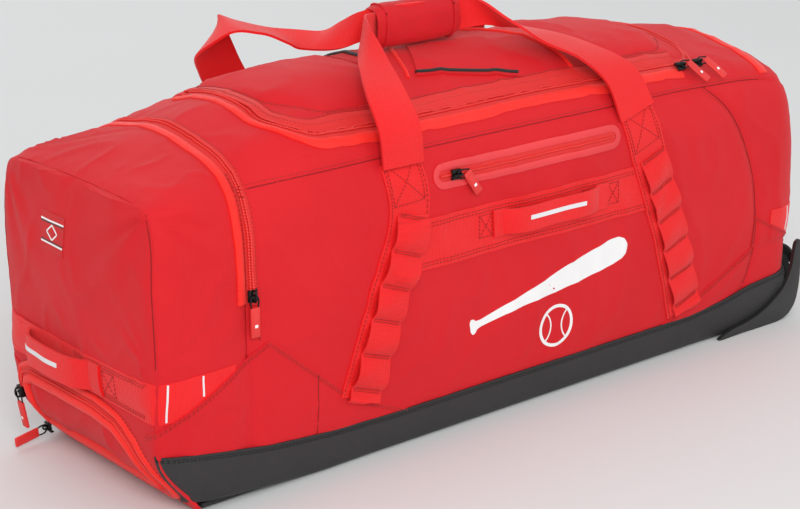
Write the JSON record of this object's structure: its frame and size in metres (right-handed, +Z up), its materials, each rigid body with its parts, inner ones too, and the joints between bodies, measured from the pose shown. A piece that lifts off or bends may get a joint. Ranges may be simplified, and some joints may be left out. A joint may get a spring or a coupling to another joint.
{
  "type": "rolling duffel bag",
  "caption": "Long wheeled duffel bag with an arched zip lid, fold-down end flap, coated base, webbing carrying handles with a padded grip wrap, and corner wheels.",
  "frame": {"origin": "on the floor under the middle of the bag body, on the underside of the coated base", "axes": "+X along the bag towards the wheels, -Y out of the front face, +Z up"},
  "size_m": [0.8925, 0.273, 0.405],
  "materials": {
    "coated_base": "black coated fabric with a fine embossed grain",
    "lining": "black lined stiffener",
    "body_fabric": "red coated polyester weave, matt",
    "grip_fabric": "red padded fabric with sewn edge",
    "webbing": "bright red ribbed webbing",
    "zip_binding": "bright orange-red binding tape",
    "zip_coil": "red zip coil and tape",
    "welded_film": "soft red welded film",
    "black_binding": "black binding tape",
    "white_print": "white screen print",
    "woven_label": "woven label with plain white stripes",
    "moulded_black": "black moulded plastic, fine texture",
    "steel": "plated steel",
    "tyre_rubber": "black rubber",
    "hub_plastic": "dark grey moulded plastic",
    "zip_slider": "black painted metal",
    "pull_rubber": "soft red rubber"
  },
  "bodies": {
    "bag": {"base_boot": "coated_base", "bottom_board": "lining", "front_panel": "body_fabric", "back_panel": "body_fabric", "near_end_panel": "body_fabric", "wheel_end_panel": "body_fabric", "shoulders": "body_fabric", "top_near_panel": "body_fabric", "top_wheel_panel": "body_fabric", "end_divider": "lining", "shoe_shelf": "lining", "corner_patches": "body_fabric", "front_band": "webbing", "near_end_band": "webbing", "wheel_end_band": "webbing", "strap_anchors": "webbing", "daisy_chains": "webbing", "emblem": "white_print", "pocket_frame": "welded_film", "pocket_zip": "zip_coil", "lid_zip_outer": "zip_binding", "end_zip_coil": "zip_coil", "wheel_end_binding": "zip_binding", "shoe_zip": "zip_binding", "housing_front": "moulded_black", "housing_back": "moulded_black", "housing_rivets": "steel", "axles": "steel", "grab_anchors": "webbing"},
    "lid": {"lid_panel": "body_fabric", "lid_pods": "body_fabric", "lid_pocket": "body_fabric", "lid_pocket_binding": "black_binding", "lid_zip_inner": "zip_binding"},
    "near_flap": {"flap_end_panel": "body_fabric", "flap_gusset": "body_fabric", "flap_binding": "zip_binding", "end_label": "woven_label"},
    "shoe_door": {"shoe_door": "body_fabric"},
    "front_handle": {"front_handle": "webbing", "grip_wrap": "grip_fabric"},
    "back_handle": {"back_handle": "webbing"},
    "front_grab": {"front_grab": "webbing"},
    "end_grab": {"end_grab": "webbing"},
    "wheel_front": {"wheel_front": "tyre_rubber", "hub_front": "hub_plastic"},
    "wheel_back": {"wheel_back": "tyre_rubber", "hub_back": "hub_plastic"},
    "lid_a_slider": {"lid_slider_a": "zip_slider"},
    "lid_a_pull": {"lid_pull_a": "pull_rubber"},
    "lid_b_slider": {"lid_slider_b": "zip_slider"},
    "lid_b_pull": {"lid_pull_b": "pull_rubber"},
    "end_slider": {"end_slider": "zip_slider"},
    "end_pull": {"end_pull": "pull_rubber"},
    "pocket_slider": {"pocket_slider": "zip_slider"},
    "pocket_pull": {"pocket_pull": "pull_rubber"},
    "shoe_a_slider": {"shoe_slider_a": "zip_slider"},
    "shoe_a_pull": {"shoe_pull_a": "pull_rubber"},
    "shoe_b_slider": {"shoe_slider_b": "zip_slider"},
    "shoe_b_pull": {"shoe_pull_b": "pull_rubber"}
  },
  "joints": [
    {"name": "lid_open", "type": "hinge", "parent": "bag", "child": "lid", "pos_m": [0, 0.1, 0.317], "axis": [-1, 0, 0], "range_deg": [0, 100]},
    {"name": "near_flap_open", "type": "hinge", "parent": "bag", "child": "near_flap", "pos_m": [-0.432, 0, 0.142], "axis": [0, -1, 0], "range_deg": [0, 90]},
    {"name": "shoe_door_open", "type": "hinge", "parent": "bag", "child": "shoe_door", "pos_m": [-0.4405, 0.104, 0.054], "axis": [0, 0, 1], "range_deg": [-75, 0]},
    {"name": "front_handle_swing", "type": "hinge", "parent": "bag", "child": "front_handle", "pos_m": [0, -0.131, 0.286], "axis": [1, 0, 0], "range_deg": [0, 160]},
    {"name": "back_handle_swing", "type": "hinge", "parent": "bag", "child": "back_handle", "pos_m": [0, 0.131, 0.286], "axis": [-1, 0, 0], "range_deg": [0, 160]},
    {"name": "front_grab_swing", "type": "hinge", "parent": "bag", "child": "front_grab", "pos_m": [0.03, -0.129, 0.205], "axis": [1, 0, 0], "range_deg": [-12, 12]},
    {"name": "end_grab_swing", "type": "hinge", "parent": "bag", "child": "end_grab", "pos_m": [-0.438, 0.027, 0.117], "axis": [0, 1, 0], "range_deg": [-14, 14]},
    {"name": "wheel_front_spin", "type": "hinge", "parent": "bag", "child": "wheel_front", "pos_m": [0.3905, -0.106, 0.0435], "axis": [0, 1, 0], "continuous": true},
    {"name": "wheel_back_spin", "type": "hinge", "parent": "bag", "child": "wheel_back", "pos_m": [0.3905, 0.106, 0.0435], "axis": [0, 1, 0], "continuous": true},
    {"name": "lid_slider_a_slide", "type": "slide", "parent": "bag", "child": "lid_a_slider", "axis": [-1, 0, 0], "range_m": [0, 0.045]},
    {"name": "lid_slider_b_slide", "type": "slide", "parent": "bag", "child": "lid_b_slider", "axis": [-1, 0, 0], "range_m": [0, 0.045]},
    {"name": "end_slider_slide", "type": "slide", "parent": "bag", "child": "end_slider", "axis": [0, 0, 1], "range_m": [0, 0.08]},
    {"name": "pocket_slider_slide", "type": "slide", "parent": "bag", "child": "pocket_slider", "axis": [1, 0, 0], "range_m": [0, 0.19]},
    {"name": "shoe_slider_a_slide", "type": "slide", "parent": "bag", "child": "shoe_a_slider", "axis": [0.1641, 0, 0.9864], "range_m": [0, 0.006]},
    {"name": "shoe_slider_b_slide", "type": "slide", "parent": "bag", "child": "shoe_b_slider", "axis": [0, -1, 0], "range_m": [0, 0.19]},
    {"name": "lid_a_pull_swing", "type": "hinge", "parent": "lid_a_slider", "child": "lid_a_pull", "pos_m": [0.236, -0.10955, 0.31754], "axis": [0, -0.7431, -0.6691], "range_deg": [0, 115]},
    {"name": "lid_b_pull_swing", "type": "hinge", "parent": "lid_b_slider", "child": "lid_b_pull", "pos_m": [0.262, -0.10955, 0.31754], "axis": [0, -0.7431, -0.6691], "range_deg": [0, 115]},
    {"name": "end_pull_swing", "type": "hinge", "parent": "end_slider", "child": "end_pull", "pos_m": [-0.332, -0.1321, 0.196], "axis": [-1, 0, 0], "range_deg": [0, 115]},
    {"name": "pocket_pull_swing", "type": "hinge", "parent": "pocket_slider", "child": "pocket_pull", "pos_m": [-0.094, -0.1313, 0.263], "axis": [0, 0, -1], "range_deg": [0, 115]},
    {"name": "shoe_a_pull_swing", "type": "hinge", "parent": "shoe_a_slider", "child": "shoe_a_pull", "pos_m": [-0.43983, 0.1104, 0.05713], "axis": [0, 1, 0], "range_deg": [0, 115]},
    {"name": "shoe_b_pull_swing", "type": "hinge", "parent": "shoe_b_slider", "child": "shoe_b_pull", "pos_m": [-0.41128, 0.112, 0.01154], "axis": [0.0872, 0, -0.9962], "range_deg": [-50, 50]}
  ],
  "couplings": [
    {"joint": "front_handle_swing", "follows": "lid_open", "ratio": 1.6},
    {"joint": "back_handle_swing", "follows": "lid_open", "ratio": 1.6},
    {"joint": "lid_slider_b_slide", "follows": "lid_slider_a_slide", "ratio": 1}
  ]
}
